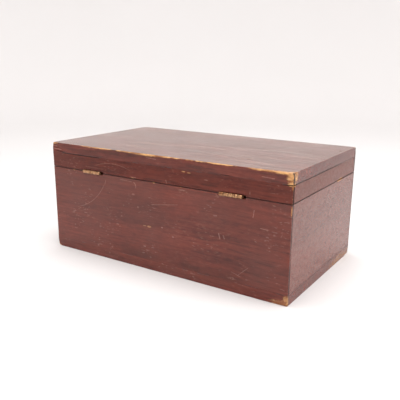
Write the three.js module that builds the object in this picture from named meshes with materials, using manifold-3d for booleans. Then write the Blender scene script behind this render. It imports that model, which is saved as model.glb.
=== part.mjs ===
// A hinged wooden case for fountain pens: a nailed and glued box of 11 mm boards whose lid turns on two
// small brass butt hinges at the back, with a swing hook at the front and a lift-out pen tray inside.
// Millimetres, +Z up, front towards -Y, origin on the table under the middle of the case.
import * as THREE from "three";
import { mergeVertices } from "three/addons/utils/BufferGeometryUtils.js";
import Module from "manifold-3d";

const wasm = await Module();
wasm.setup();

// ---- driving dimensions of the case
const caseLength = 300;
const caseDepth = 170;
const caseHeight = 125.5;
const seamHeight = 97.4; // where the closed lid meets the case
const board = 11; // thickness of every outer board
const lip = 1.5; // what the corner rabbets leave of the front and back boards
const glueGap = 0.3; // between pieces that are glued or nailed together
const seamGap = 0.6; // between the closed lid and the case

const halfLength = caseLength / 2;
const halfDepth = caseDepth / 2;
const innerX = halfLength - board; // inner face of the end boards
const innerY = halfDepth - board; // inner face of the front and back boards
const wallTop = seamHeight - seamGap / 2;
const lidBottom = seamHeight + seamGap / 2;
const topBoardBottom = caseHeight - board;

// ---- butt hinges
const hingeX = 88.6; // from the middle of the case to the middle of each hinge
const hingeLength = 25;
const knuckles = 5;
const knuckleGap = 0.25;
const knuckleRadius = 1.9;
const hingeStandOff = 1; // the pin stands this far behind the back face
const leafThickness = 0.9;
const leafWidth = 9; // from the pin to the leaf's inner edge
const pinRadius = 0.75;
const pinHoleRadius = 0.85;
const pinProud = 0.2; // at each end of the hinge
const leafScrewX = 7; // to each side of the leaf's middle
const leafScrewY = -5.5; // from the pin
const mortiseSlack = 0.4; // around a leaf in its recess
const mortiseOvercut = 2.6; // the recess runs past the hinge on its left

// ---- fasteners
const screwLength = 9;
const screwShank = 1.1;
const screwHead = 2.2;
const pilotSlack = 0.3; // between a fastener and the wood or brass around it
const nailLength = 24;
const nailShank = 0.7;
const nailHead = 1.1;
const nailHeadHeight = 0.9;
const nailSet = 0.4; // the heads are punched this far below the surface
const nailEndY = 49;
const nailFrontX = 28; // beside the catch

// ---- swing hook at the front
const pivotHeight = seamHeight - 11;
const hookReach = 22; // from the pivot to the keeper's neck
const hookThickness = 1;
const hookBack = 1.3; // from the front face to the hook's back
const catchNeck = 1.1;
const catchHead = 2.6;
const catchHeadBase = 2.6; // from the front face to the underside of the head
const catchHeadHeight = 1.5;
const runningGap = 0.1; // between the hook's eye and the screw it turns on

// ---- lift-out pen tray
const trayGapX = 1.5;
const trayGapY = 1.3;
const trayBottom = seamHeight - 28.7;
const trayFloor = 3;
const trayTop = seamHeight - 2.7;
const trayWall = 5;
const lanes = 10;
const divider = 3;
const dividerTop = seamHeight - 7;
const dado = 2; // depth of the slots that hold the dividers' ends
const linerThickness = 1.2;
const ledgeWidth = 6;
const ledgeHeight = 8;
const ledgeEndGap = 1;
const tabWidth = 14;
const tabThickness = 1.2;
const tabTop = seamHeight - 0.8;

const stainedWood = new THREE.MeshStandardMaterial({ color: 0x6b3b35, roughness: 0.5, metalness: 0 });
const trayWood = new THREE.MeshStandardMaterial({ color: 0x9a6a44, roughness: 0.6, metalness: 0 });
const brass = new THREE.MeshStandardMaterial({ color: 0xb99468, roughness: 0.4, metalness: 1 });
const steel = new THREE.MeshStandardMaterial({ color: 0x4a4644, roughness: 0.5, metalness: 1 });
const felt = new THREE.MeshStandardMaterial({ color: 0x3c4a36, roughness: 1, metalness: 0 });
const leather = new THREE.MeshStandardMaterial({ color: 0x5a3824, roughness: 0.7, metalness: 0 });

// ---- shapes
// A box from its lowest and highest coordinates.
function block(x0, x1, y0, y1, z0, z1) {
  const box = new THREE.BoxGeometry(x1 - x0, y1 - y0, z1 - z0);
  return box.translate((x0 + x1) / 2, (y0 + y1) / 2, (z0 + z1) / 2);
}

// A cylinder along X around the pin of a hinge.
function rodX(radius, x0, x1, sides = 24) {
  const rod = new THREE.CylinderGeometry(radius, radius, x1 - x0, sides);
  return rod.rotateZ(Math.PI / 2).translate((x0 + x1) / 2, 0, 0);
}

// A cylinder along Y, centred on x and z.
function rodY(radius, y0, y1, x, z, sides = 24) {
  return new THREE.CylinderGeometry(radius, radius, y1 - y0, sides).translate(x, (y0 + y1) / 2, z);
}

// A turned piece standing on Z. The profile lists [radius, height] from the bottom of the axis to its top.
function turned(profile, sides = 12) {
  const points = profile.map(([radius, height]) => new THREE.Vector2(radius, height));
  return new THREE.LatheGeometry(points, sides).rotateX(Math.PI / 2);
}

function solidOf(geometry) {
  const bare = geometry.index ? geometry.toNonIndexed() : geometry.clone();
  bare.deleteAttribute("normal");
  bare.deleteAttribute("uv");
  const merged = mergeVertices(bare, 1e-4);
  return new wasm.Manifold(
    new wasm.Mesh({
      numProp: 3,
      vertProperties: new Float32Array(merged.attributes.position.array),
      triVerts: new Uint32Array(merged.index.array),
    }),
  );
}

function geometryOf(solid) {
  const { vertProperties, triVerts } = solid.getMesh();
  const geometry = new THREE.BufferGeometry();
  geometry.setAttribute("position", new THREE.BufferAttribute(vertProperties, 3));
  geometry.setIndex(new THREE.BufferAttribute(triVerts, 1));
  geometry.computeVertexNormals();
  return geometry;
}

// The first geometries joined, less the cutters.
function carve(joined, cutters) {
  const whole = joined.map(solidOf).reduce((a, b) => a.add(b));
  return geometryOf(cutters.map(solidOf).reduce((a, b) => a.subtract(b), whole));
}

function piece(name, geometry, material) {
  const mesh = new THREE.Mesh(geometry, material);
  mesh.name = name;
  return mesh;
}

// ---- fasteners
// A slotted countersunk wood screw: its head's top at the origin, its point down.
function leafScrew() {
  const threadDepth = 0.3;
  const threadStart = -3;
  const threads = 5;
  const pitch = (screwLength - 1.5 + threadStart) / threads;
  const profile = [[0, -screwLength]];
  for (let i = threads; i > 0; i -= 1) {
    const z = threadStart - i * pitch;
    profile.push([screwShank - threadDepth, z], [screwShank, z + pitch / 2]);
  }
  profile.push([screwShank - threadDepth, threadStart], [screwShank, threadStart + 0.4]);
  profile.push([screwShank, screwShank - screwHead], [screwHead, 0], [0, 0]);
  const slotDepth = 0.5;
  const slotWidth = 0.5;
  const slot = block(-screwHead - 1, screwHead + 1, -slotWidth / 2, slotWidth / 2, -slotDepth, 1);
  return carve([turned(profile)], [slot]);
}

// What a leaf screw needs: a countersink in the leaf and a pilot hole in the wood.
function leafScrewHole() {
  const shank = screwShank + pilotSlack;
  const head = screwHead + pilotSlack;
  const end = -screwLength - 1;
  const mouth = 0.5;
  return turned([[0, end], [shank, end], [shank, shank - head], [head + mouth, mouth], [0, mouth]]);
}

// A panel pin: the top of its head at the origin, its point down.
function nail() {
  return turned([[0, -nailLength], [nailShank, 2 - nailLength], [nailShank, -nailHeadHeight],
    [nailHead, -nailHeadHeight], [nailHead, 0], [0, 0]]);
}

// The hole a nail makes, from the surface that it is driven through.
function nailHole(x, y, surface, down) {
  const shank = nailShank + pilotSlack;
  const head = nailHead + pilotSlack;
  const headBottom = -nailSet - nailHeadHeight - pilotSlack;
  const end = -nailSet - nailLength - 1;
  const hole = turned([[0, end], [shank, end], [shank, headBottom], [head, headBottom], [head, 1], [0, 1]]);
  return hole.rotateX(down ? 0 : Math.PI).translate(x, y, surface);
}

// The round-headed screw that the hook turns on, and its twin that keeps it: the wood's face at the origin,
// the head up.
function catchScrew() {
  const domeSteps = 4;
  const profile = [[0, -screwLength], [catchNeck, 2 - screwLength]];
  profile.push([catchNeck, catchHeadBase], [catchHead, catchHeadBase]);
  for (let i = 0; i <= domeSteps; i += 1) {
    const angle = (i / domeSteps) * (Math.PI / 2);
    const radius = i === domeSteps ? 0 : catchHead * Math.cos(angle);
    profile.push([radius, catchHeadBase + 0.3 + (catchHeadHeight - 0.3) * Math.sin(angle)]);
  }
  const top = catchHeadBase + catchHeadHeight;
  const slotDepth = 0.7;
  const slotWidth = 0.6;
  const slotEnd = catchHead + 1;
  const slot = block(-slotEnd, slotEnd, -slotWidth / 2, slotWidth / 2, top - slotDepth, top + 1);
  return carve([turned(profile, 20)], [slot]);
}

// The pilot hole of a catch screw in a front board, at a height.
function catchHole(height) {
  return rodY(catchNeck + pilotSlack, -halfDepth - 1, -halfDepth + screwLength + 0.5, 0, height, 12);
}

// ---- where the nails go: two in each end and one in the middle of the front and of the back
const nailSpots = {
  left_front: [-halfLength + board / 2, -nailEndY],
  left_back: [-halfLength + board / 2, nailEndY],
  right_front: [halfLength - board / 2, -nailEndY],
  right_back: [halfLength - board / 2, nailEndY],
  front_middle: [nailFrontX, -halfDepth + board / 2],
  back_middle: [0, halfDepth - board / 2],
};

function nailHoles(surface, down, wanted) {
  return Object.keys(nailSpots)
    .filter((spot) => spot.startsWith(wanted))
    .map((spot) => nailHole(...nailSpots[spot], surface, down));
}

function nails(prefix, height, down) {
  return Object.entries(nailSpots).map(([spot, [x, y]]) => {
    const mesh = piece(`${prefix}_nail_${spot}`, nail(), steel);
    mesh.position.set(x, y, height);
    mesh.rotation.x = down ? 0 : Math.PI;
    return mesh;
  });
}

// ---- boards
// A front or back board between two heights. Its rabbets, which take the end boards, leave a lip outside.
function longBoard(bottom, top, side) {
  const shoulder = innerX - glueGap;
  const outer = halfDepth;
  const shape = new THREE.Shape([
    new THREE.Vector2(-halfLength, -outer),
    new THREE.Vector2(halfLength, -outer),
    new THREE.Vector2(halfLength, lip - outer),
    new THREE.Vector2(shoulder, lip - outer),
    new THREE.Vector2(shoulder, board - outer),
    new THREE.Vector2(-shoulder, board - outer),
    new THREE.Vector2(-shoulder, lip - outer),
    new THREE.Vector2(-halfLength, lip - outer),
  ]);
  const geometry = new THREE.ExtrudeGeometry(shape, { depth: top - bottom, bevelEnabled: false });
  return geometry.rotateZ(side > 0 ? Math.PI : 0).translate(0, 0, bottom);
}

// An end board between two heights; side is -1 on the left and 1 on the right.
function endBoard(bottom, top, side) {
  const reach = halfDepth - lip - glueGap;
  const end = block(-board / 2, board / 2, -reach, reach, bottom, top);
  return end.translate(side * (halfLength - board / 2), 0, 0);
}

// Both screw holes of a leaf, around the pin at the origin, in the case (side -1) or in the lid (side 1).
function leafScrewHoles(side) {
  const surface = (seamGap / 2) * side;
  return [-leafScrewX, leafScrewX].map((along) => {
    const hole = leafScrewHole().rotateX(side < 0 ? 0 : Math.PI);
    return hole.translate(along, leafScrewY, surface);
  });
}

// The recesses of both hinges in the case (side -1) or in the lid (side 1), with their screws' pilot holes.
function hingeCutters(side) {
  const floor = (seamGap / 2 + leafThickness + pilotSlack) * side;
  const start = -hingeLength / 2 - mortiseSlack - mortiseOvercut;
  const end = hingeLength / 2 + mortiseSlack;
  const inner = -leafWidth - mortiseSlack;
  return [hingeX, -hingeX].flatMap((x) => {
    const recess = block(start, end, inner, 2, Math.min(-side, floor), Math.max(-side, floor));
    const groove = rodX(knuckleRadius + mortiseSlack, start, end);
    const cutters = [recess, groove, ...leafScrewHoles(side)];
    return cutters.map((cutter) => cutter.translate(x, halfDepth + hingeStandOff, seamHeight));
  });
}

// ---- butt hinge, around its pin at the origin
// One leaf: side -1 is screwed to the case and has the outer knuckles, side 1 to the lid.
function hingeLeaf(side) {
  const knuckleLength = (hingeLength - (knuckles - 1) * knuckleGap) / knuckles;
  const heights = [(seamGap / 2) * side, (seamGap / 2 + leafThickness) * side];
  const half = hingeLength / 2;
  const plate = block(-half, half, -leafWidth, 0, Math.min(...heights), Math.max(...heights));
  const own = [];
  const others = [];
  for (let i = 0; i < knuckles; i += 1) {
    const start = -half + i * (knuckleLength + knuckleGap);
    const end = start + knuckleLength;
    const isOwn = (i % 2 === 0) === side < 0;
    if (isOwn) own.push(rodX(knuckleRadius, start, end));
    else others.push(rodX(knuckleRadius + pilotSlack, start - knuckleGap, end + knuckleGap));
  }
  const trimmed = carve([plate], others);
  const pinHole = rodX(pinHoleRadius, -hingeLength, hingeLength, 16);
  return carve([trimmed, ...own], [pinHole, ...leafScrewHoles(side)]);
}

function hinge(label, x) {
  const group = new THREE.Group();
  group.position.set(x, halfDepth + hingeStandOff, seamHeight);
  group.add(piece(`hinge_${label}_case_leaf`, hingeLeaf(-1), brass));
  group.add(piece(`hinge_${label}_lid_leaf`, hingeLeaf(1), brass));
  const pinEnd = hingeLength / 2 + pinProud;
  group.add(piece(`hinge_${label}_pin`, rodX(pinRadius, -pinEnd, pinEnd, 16), brass));
  for (const [owner, side] of [["case", -1], ["lid", 1]]) {
    for (const [place, along] of [["left", -leafScrewX], ["right", leafScrewX]]) {
      const screw = piece(`hinge_${label}_${owner}_screw_${place}`, leafScrew(), brass);
      screw.position.set(along, leafScrewY, (seamGap / 2 + 0.1) * side);
      screw.rotation.x = side < 0 ? 0 : Math.PI;
      group.add(screw);
    }
  }
  return group;
}

// ---- case and lid
function caseBox() {
  const group = new THREE.Group();
  const bottom = board + glueGap;
  const holes = (wanted) => nailHoles(0, false, wanted);
  const floorBoard = block(-halfLength, halfLength, -halfDepth, halfDepth, 0, board);
  const frontCuts = [...holes("front"), catchHole(pivotHeight)];
  const backCuts = [...holes("back"), ...hingeCutters(-1)];
  group.add(piece("bottom_board", carve([floorBoard], holes("")), stainedWood));
  group.add(piece("front_board", carve([longBoard(bottom, wallTop, -1)], frontCuts), stainedWood));
  group.add(piece("back_board", carve([longBoard(bottom, wallTop, 1)], backCuts), stainedWood));
  group.add(piece("left_end_board", carve([endBoard(bottom, wallTop, -1)], holes("left")), stainedWood));
  group.add(piece("right_end_board", carve([endBoard(bottom, wallTop, 1)], holes("right")), stainedWood));
  group.add(...nails("bottom", nailSet, false));
  const ledgeTop = trayBottom - glueGap;
  const ledgeX = innerX - glueGap;
  for (const [label, side] of [["left", -1], ["right", 1]]) {
    const half = ledgeWidth / 2;
    const reach = innerY - ledgeEndGap;
    const ledge = block(-half, half, -reach, reach, ledgeTop - ledgeHeight, ledgeTop);
    group.add(piece(`tray_ledge_${label}`, ledge.translate(side * (ledgeX - half), 0, 0), trayWood));
  }
  return group;
}

function lid() {
  const group = new THREE.Group();
  const top = topBoardBottom - glueGap;
  const holes = (wanted) => nailHoles(caseHeight, true, wanted);
  const topBoard = block(-halfLength, halfLength, -halfDepth, halfDepth, topBoardBottom, caseHeight);
  const frontCuts = [...holes("front"), catchHole(pivotHeight + hookReach)];
  const backCuts = [...holes("back"), ...hingeCutters(1)];
  group.add(piece("lid_top_board", carve([topBoard], holes("")), stainedWood));
  group.add(piece("lid_front_rail", carve([longBoard(lidBottom, top, -1)], frontCuts), stainedWood));
  group.add(piece("lid_back_rail", carve([longBoard(lidBottom, top, 1)], backCuts), stainedWood));
  group.add(piece("lid_left_rail", carve([endBoard(lidBottom, top, -1)], holes("left")), stainedWood));
  group.add(piece("lid_right_rail", carve([endBoard(lidBottom, top, 1)], holes("right")), stainedWood));
  group.add(...nails("lid", caseHeight - nailSet, true));
  return group;
}

// ---- swing hook, hanging from its pivot at the origin, its notch open towards -X
function swingHook() {
  const front = -hookBack - hookThickness;
  const eyeRadius = 3.8;
  const neckHalf = 2.3;
  const waistHalf = 1.6;
  const headRadius = 4.2;
  const notchHalf = 1.6;
  const arm = new THREE.Shape([
    new THREE.Vector2(-neckHalf, 0),
    new THREE.Vector2(-waistHalf, -hookReach * 0.55),
    new THREE.Vector2(-neckHalf, -hookReach),
    new THREE.Vector2(neckHalf, -hookReach),
    new THREE.Vector2(waistHalf, -hookReach * 0.55),
    new THREE.Vector2(neckHalf, 0),
  ]);
  const plate = new THREE.ExtrudeGeometry(arm, { depth: hookThickness, bevelEnabled: false });
  const thumbTab = new THREE.Vector2(4.8, -hookReach - 2.4);
  const thumbRadius = 1.8;
  const joined = [
    plate.rotateX(Math.PI / 2).translate(0, -hookBack, 0),
    rodY(eyeRadius, front, -hookBack, 0, 0),
    rodY(headRadius, front, -hookBack, 0, -hookReach),
    rodY(thumbRadius, front, -hookBack, thumbTab.x, thumbTab.y),
  ];
  const through = [front - 1, 1 - hookBack];
  const notch = block(-headRadius - 1, 0, ...through, -hookReach - notchHalf, notchHalf - hookReach);
  const notchEnd = rodY(notchHalf, ...through, 0, -hookReach);
  const eye = rodY(catchNeck + runningGap, ...through, 0, 0);
  return carve(joined, [eye, notch, notchEnd]);
}

function swingCatch() {
  const group = new THREE.Group();
  group.position.set(0, -halfDepth, pivotHeight);
  group.add(piece("catch_hook", swingHook(), brass));
  const washer = carve([rodY(3.4, -1.1, -0.1, 0, 0)], [rodY(catchNeck + pilotSlack, -2, 1, 0, 0)]);
  group.add(piece("catch_washer", washer, brass));
  for (const [name, z] of [["catch_pivot_screw", 0], ["catch_keeper_screw", hookReach]]) {
    const screw = piece(name, catchScrew(), brass);
    screw.position.z = z;
    screw.rotation.x = Math.PI / 2;
    group.add(screw);
  }
  return group;
}

// ---- pen tray
const trayX = innerX - trayGapX;
const trayY = innerY - trayGapY;
const laneSpan = 2 * (trayX - trayWall);
const lanePitch = (laneSpan + divider) / lanes;
const wallBottom = trayBottom + trayFloor + glueGap;
const linerTop = wallBottom + linerThickness;

// The middle of divider i, counted from 1 on the left.
function dividerX(i) {
  return -laneSpan / 2 - divider / 2 + i * lanePitch;
}

// A front or back tray wall: an outline with one slot for each divider's end, side -1 in front.
function trayLongWall(side) {
  const slotHalf = divider / 2 + glueGap;
  const inner = trayWall - trayY;
  const outline = [new THREE.Vector2(trayX, -trayY), new THREE.Vector2(trayX, inner)];
  for (let i = lanes - 1; i > 0; i -= 1) {
    const x = dividerX(i);
    outline.push(new THREE.Vector2(x + slotHalf, inner), new THREE.Vector2(x + slotHalf, inner - dado));
    outline.push(new THREE.Vector2(x - slotHalf, inner - dado), new THREE.Vector2(x - slotHalf, inner));
  }
  outline.push(new THREE.Vector2(-trayX, inner), new THREE.Vector2(-trayX, -trayY));
  const depth = trayTop - wallBottom;
  const wall = new THREE.ExtrudeGeometry(new THREE.Shape(outline), { depth, bevelEnabled: false });
  return wall.rotateZ(side > 0 ? Math.PI : 0).translate(0, 0, wallBottom);
}

function penTray() {
  const group = new THREE.Group();
  const endReach = trayY - trayWall - glueGap;
  const floor = block(-trayX, trayX, -trayY, trayY, trayBottom, trayBottom + trayFloor);
  group.add(piece("tray_floor", floor, trayWood));
  group.add(piece("tray_front_wall", trayLongWall(-1), trayWood));
  group.add(piece("tray_back_wall", trayLongWall(1), trayWood));
  const linerX = laneSpan / 2 - glueGap;
  const liner = block(-linerX, linerX, -endReach, endReach, wallBottom, linerTop);
  group.add(piece("tray_liner", liner, felt));
  for (const [label, side] of [["left", -1], ["right", 1]]) {
    const wall = block(-trayWall / 2, trayWall / 2, -endReach, endReach, wallBottom, trayTop);
    group.add(piece(`tray_${label}_wall`, wall.translate(side * (trayX - trayWall / 2), 0, 0), trayWood));
    const half = tabThickness / 2;
    const tab = block(-half, half, -tabWidth / 2, tabWidth / 2, linerTop + glueGap, tabTop);
    const tabX = laneSpan / 2 - glueGap - half;
    group.add(piece(`tray_pull_tab_${label}`, tab.translate(side * tabX, 0, 0), leather));
  }
  const dividerReach = trayY - trayWall + dado - glueGap;
  for (let i = 1; i < lanes; i += 1) {
    const half = divider / 2;
    const slat = block(-half, half, -dividerReach, dividerReach, linerTop + glueGap, dividerTop);
    group.add(piece(`tray_divider_${i}`, slat.translate(dividerX(i), 0, 0), trayWood));
  }
  return group;
}

const penCase = new THREE.Group();
penCase.add(caseBox(), lid(), swingCatch(), penTray());
penCase.add(hinge("right", hingeX), hinge("left", -hingeX));

export default penCase;
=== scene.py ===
"""Looks of an old stained pen case: worn boards, small brass hinges, a swing hook and the pen tray inside.

Lengths are in metres in the frame's own axes: +Z up, the hinges towards +Y and the hook towards -Y.
"""

import math

import bmesh
import bpy
import numpy as np
from mathutils import Matrix, Vector


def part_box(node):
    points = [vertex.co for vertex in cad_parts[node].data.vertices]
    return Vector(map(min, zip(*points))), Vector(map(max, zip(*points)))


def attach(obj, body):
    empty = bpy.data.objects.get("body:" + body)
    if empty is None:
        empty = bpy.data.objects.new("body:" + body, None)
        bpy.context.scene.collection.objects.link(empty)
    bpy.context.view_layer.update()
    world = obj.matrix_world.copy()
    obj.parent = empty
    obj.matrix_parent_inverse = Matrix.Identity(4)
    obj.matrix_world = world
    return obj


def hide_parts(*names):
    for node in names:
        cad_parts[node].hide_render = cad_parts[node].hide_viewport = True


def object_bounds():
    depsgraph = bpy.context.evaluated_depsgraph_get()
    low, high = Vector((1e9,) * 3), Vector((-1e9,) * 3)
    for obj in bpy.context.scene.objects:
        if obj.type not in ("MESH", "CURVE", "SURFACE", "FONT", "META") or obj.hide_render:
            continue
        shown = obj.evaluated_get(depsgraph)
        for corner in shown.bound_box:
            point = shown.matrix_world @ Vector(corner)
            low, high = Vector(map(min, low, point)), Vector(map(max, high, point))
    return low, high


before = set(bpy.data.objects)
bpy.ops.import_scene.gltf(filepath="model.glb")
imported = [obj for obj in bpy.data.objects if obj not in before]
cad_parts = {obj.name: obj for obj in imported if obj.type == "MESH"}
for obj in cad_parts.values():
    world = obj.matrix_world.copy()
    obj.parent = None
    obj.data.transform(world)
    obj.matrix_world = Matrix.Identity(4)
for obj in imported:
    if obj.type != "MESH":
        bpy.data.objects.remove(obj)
cad_low, cad_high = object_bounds()

MM = 0.001
SEAM = (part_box("back_board")[1].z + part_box("lid_back_rail")[0].z) / 2  # where the closed lid meets the case
LID_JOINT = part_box("lid_top_board")[0].z
BOTTOM_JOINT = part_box("bottom_board")[1].z
BOARD = BOTTOM_JOINT
LIP = 1.5 * MM  # what the rabbets leave of the front and back boards
GLUE_GAP = 0.28 * MM  # how far a glued board reaches past its solid, to touch its neighbour
SEAM_CLOSING = 0.12 * MM  # how far each side of the seam reaches into its gap
HALF_LENGTH = cad_high.x
HALF_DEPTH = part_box("lid_top_board")[1].y
HEIGHT = cad_high.z
BACK, LEFT, TOP = HALF_DEPTH / MM, -HALF_LENGTH / MM, HEIGHT / MM  # the three faces with marks of use, in mm
STAND_OFF = 1 * MM  # how far behind the back face the hinges' pins are
HINGE_HALF = 12.5 * MM
KNUCKLES = 5
TURNS = {
    "Z": Matrix.Identity(4),
    "-Z": Matrix.Rotation(math.pi, 4, "X"),
    "X": Matrix.Rotation(math.pi / 2, 4, "Y"),
    "-Y": Matrix.Rotation(math.pi / 2, 4, "X"),
}  # from +Z to where a turned piece points


# ---- noise and small geometry helpers
def lattice_noise(points, size, seed):
    """Smooth noise from 0 to 1 at each point, in blobs about size across."""
    scaled = points / size
    cell = np.floor(scaled).astype(np.int64)
    part = scaled - cell
    part = part * part * (3 - 2 * part)
    total = np.zeros(len(points))
    for corner in np.ndindex(2, 2, 2):
        at = cell + np.array(corner)
        mixed = at[:, 0] * 73856093 ^ at[:, 1] * 19349663 ^ at[:, 2] * 83492791 ^ seed * 2654435761
        mixed = mixed * 1103515245 + 12345
        value = (mixed >> 12 & 0xFFFF) / 0xFFFF
        total += value * np.prod(np.where(corner, part, 1 - part), axis=1)
    return total


def smoothstep(value, low, high):
    share = np.clip((value - low) / (high - low), 0, 1)
    return share * share * (3 - 2 * share)


def nodes_with(name):
    """The CAD nodes whose names hold the given one."""
    return [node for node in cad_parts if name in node]


def middle_of(node):
    low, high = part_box(node)
    return (low + high) / 2


def new_object(name, data):
    made = bpy.data.objects.new(name, data)
    bpy.context.scene.collection.objects.link(made)
    return made


def mesh_of(name, vertices, faces):
    mesh = bpy.data.meshes.new(name)
    mesh.from_pydata([tuple(v) for v in vertices], [], faces)
    mesh.update()
    return mesh


def shade(mesh, sharp_degrees):
    """Smooth shading, with edges sharper than the angle left sharp."""
    mesh.shade_smooth()
    mesh.set_sharp_from_angle(angle=math.radians(sharp_degrees))


def cut(piece, cutters, operation="DIFFERENCE"):
    """Cuts the cutter objects out of the piece, or joins them to it, and removes them."""
    for cutter in cutters:
        boolean = piece.modifiers.new("cut", "BOOLEAN")
        boolean.operation = operation
        boolean.solver = "EXACT"
        boolean.object = cutter
    settle(piece)
    for cutter in cutters:
        bpy.data.objects.remove(cutter)


def settle(piece):
    """Applies the piece's modifiers."""
    evaluated = piece.evaluated_get(bpy.context.evaluated_depsgraph_get())
    mesh = bpy.data.meshes.new_from_object(evaluated)
    piece.modifiers.clear()
    piece.data = mesh


def bevel(piece, width, segments=2, degrees=30):
    """Rounds the edges that are sharper than the angle."""
    made = piece.modifiers.new("bevel", "BEVEL")
    made.width = width
    made.segments = segments
    made.limit_method = "ANGLE"
    made.angle_limit = math.radians(degrees)
    settle(piece)


def finish_piece(piece, body, slot, material, *nodes, sharp_degrees=35):
    """Gives a made piece its shading, its material and its CAD body, and hides the CAD nodes that it stands
    for.
    """
    shade(piece.data, sharp_degrees)
    piece.data.materials.clear()
    piece.data.materials.append(material)
    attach(piece, body)
    if nodes:
        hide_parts(*nodes)
    return piece


def box_object(name, low, high):
    """A plain box, for cutters and small blocks."""
    low, high = np.array(low), np.array(high)
    corners = [low + (high - low) * np.array(c) for c in np.ndindex(2, 2, 2)]
    faces = [(0, 1, 3, 2), (4, 6, 7, 5), (0, 4, 5, 1), (2, 3, 7, 6), (0, 2, 6, 4), (1, 5, 7, 3)]
    return new_object(name, mesh_of(name, corners, faces))


def recalculate(mesh):
    """Turns the faces outwards and welds points that meet."""
    work = bmesh.new()
    work.from_mesh(mesh)
    bmesh.ops.remove_doubles(work, verts=work.verts, dist=1e-6)
    bmesh.ops.recalc_face_normals(work, faces=work.faces)
    work.to_mesh(mesh)
    work.free()


def prism_object(name, ends):
    """A solid between two outlines that have the same number of points."""
    count = len(ends[0])
    faces = [tuple(range(count)), tuple(reversed(range(count, 2 * count)))]
    faces += [(i, i + count, (i + 1) % count + count, (i + 1) % count) for i in range(count)]
    made = new_object(name, mesh_of(name, [*ends[0], *ends[1]], faces))
    recalculate(made.data)
    return made


def quarter_turn(steps, start=0.0):
    """The cosine and the sine at each step of a quarter of a turn."""
    turns = [start + math.pi / 2 * i / steps for i in range(steps + 1)]
    return [(math.cos(turn), math.sin(turn)) for turn in turns]


def mirrored(profile, ends):
    """A lathe profile and its mirror image; ends is the height of its first end plus that of its last."""
    return profile + [(radius, ends - height) for radius, height in reversed(profile)]


def closed(profile):
    return [*profile, profile[0]]


def lathe_object(name, profile, at, axis="Z", sides=32):
    """A turned piece. The profile lists (radius, height) from the bottom of its axis to the top."""
    rings = []
    vertices = []
    for radius, height in profile:
        count = 1 if radius == 0 else sides
        rings.append(range(len(vertices), len(vertices) + count))
        for i in range(count):
            turn = 2 * math.pi * i / sides
            vertices.append((radius * math.cos(turn), radius * math.sin(turn), height))
    faces = []
    for lower, upper in zip(rings, rings[1:]):
        for i in range(sides):
            j = (i + 1) % sides
            if len(lower) == 1:
                faces.append((lower[0], upper[j], upper[i]))
            elif len(upper) == 1:
                faces.append((lower[i], lower[j], upper[0]))
            else:
                faces.append((lower[i], lower[j], upper[j], upper[i]))
    turned = new_object(name, mesh_of(name, vertices, faces))
    turned.data.transform(Matrix.Translation(at) @ TURNS[axis])
    return turned


def cylinder_object(name, radius, start, end, at, axis="Z", sides=32):
    return lathe_object(name, [(0, start), (radius, start), (radius, end), (0, end)], at, axis, sides)


# ---- worn boards
EDGE_STEPS = (0.22, 0.28, 0.38, 0.52, 0.75, 1.1, 1.6)  # mm between grid lines, going in from an edge


def edge_steps(length):
    """The fine steps at each end of a stretch: fewer of them where it is short."""
    steps = np.cumsum(EDGE_STEPS) * MM
    return steps[steps < length * 0.45]


def edge_lines(line):
    """How many fine steps a grid line's coordinates start with."""
    return len(edge_steps(line[-1] - line[0]))


def grid_lines(low, high, step):
    """Coordinates from low to high, close together at both ends and about a step apart between."""
    ends = edge_steps(high - low)
    count = max(2, round((high - low - 2 * ends[-1]) / step) + 1)
    middle = np.linspace(low + ends[-1], high - ends[-1], count)
    return np.concatenate([[low], low + ends[:-1], middle, (high - ends[:-1])[::-1], [high]])


def grid_box(lines, whole=False):
    """The vertices and faces of a box's surface, cut by grid lines along X, Y and Z.

    Unless whole, one large face takes the flat middle of each side.
    """
    number = {}
    vertices, faces = [], []

    def vertex(*at):
        if at not in number:
            number[at] = len(vertices)
            vertices.append([lines[axis][at[axis]] for axis in range(3)])
        return number[at]

    for axis in range(3):
        u, v = (axis + 1) % 3, (axis + 2) % 3
        last_u, last_v = len(lines[u]) - 1, len(lines[v]) - 1
        ends_u, ends_v = edge_lines(lines[u]), edge_lines(lines[v])
        for side in (0, len(lines[axis]) - 1):

            def loop(around):
                corners = [vertex(*np.roll((side, a, b), axis)) for a, b in around]
                faces.append(corners if side else corners[::-1])

            for a in range(last_u):
                for b in range(last_v):
                    middle = ends_u <= a < last_u - ends_u and ends_v <= b < last_v - ends_v
                    if whole or not middle:
                        loop([(a, b), (a + 1, b), (a + 1, b + 1), (a, b + 1)])
            if not whole:
                across = range(ends_u, last_u - ends_u)
                along = range(ends_v, last_v - ends_v)
                rim = [(a, ends_v) for a in across] + [(last_u - ends_u, b) for b in along]
                rim += [(a + 1, last_v - ends_v) for a in reversed(across)]
                rim += [(ends_u, b + 1) for b in reversed(along)]
                loop(rim)
    return np.array(vertices), faces


def edge_distance(points, low, high):
    """How far each point on or in a box is from the box's nearest edge, measured along its face."""
    to_faces = np.minimum(points - low, high - points)
    return np.sort(to_faces, axis=1)[:, 1]


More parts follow.
